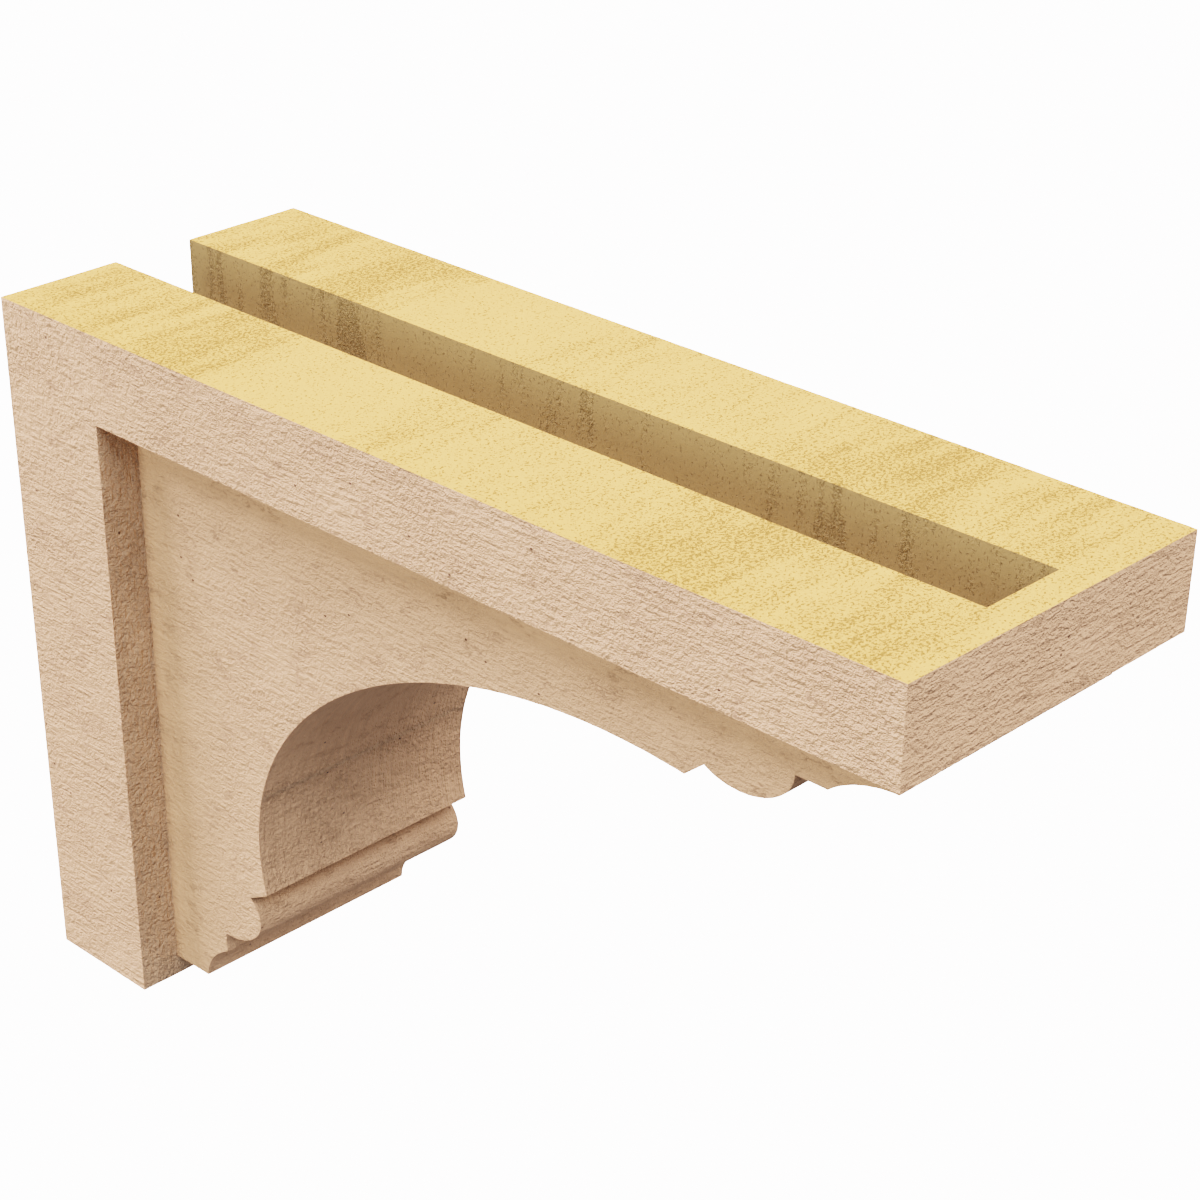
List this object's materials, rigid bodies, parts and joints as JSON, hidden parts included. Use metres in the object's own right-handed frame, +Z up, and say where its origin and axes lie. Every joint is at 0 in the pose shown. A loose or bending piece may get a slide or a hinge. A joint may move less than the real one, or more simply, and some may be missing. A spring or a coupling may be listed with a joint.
{
  "type": "corbel",
  "caption": "Rough-sawn wall corbel: a flat arm and leg braced by an arched bracket with beaded ends, slotted on top for a mounting bar.",
  "frame": {"origin": "middle of the plain back face that goes against the wall", "axes": "+Y points out of the back into the wall, so the arm reaches forward along -Y; +Z is up; +X is to the right seen from the front"},
  "size_m": [0.2032, 0.6096, 0.4064],
  "materials": {
    "primed_skin": "matte tan primer over rough-sawn foam"
  },
  "bodies": {
    "root": {"corbel": "primed_skin"}
  },
  "joints": []
}
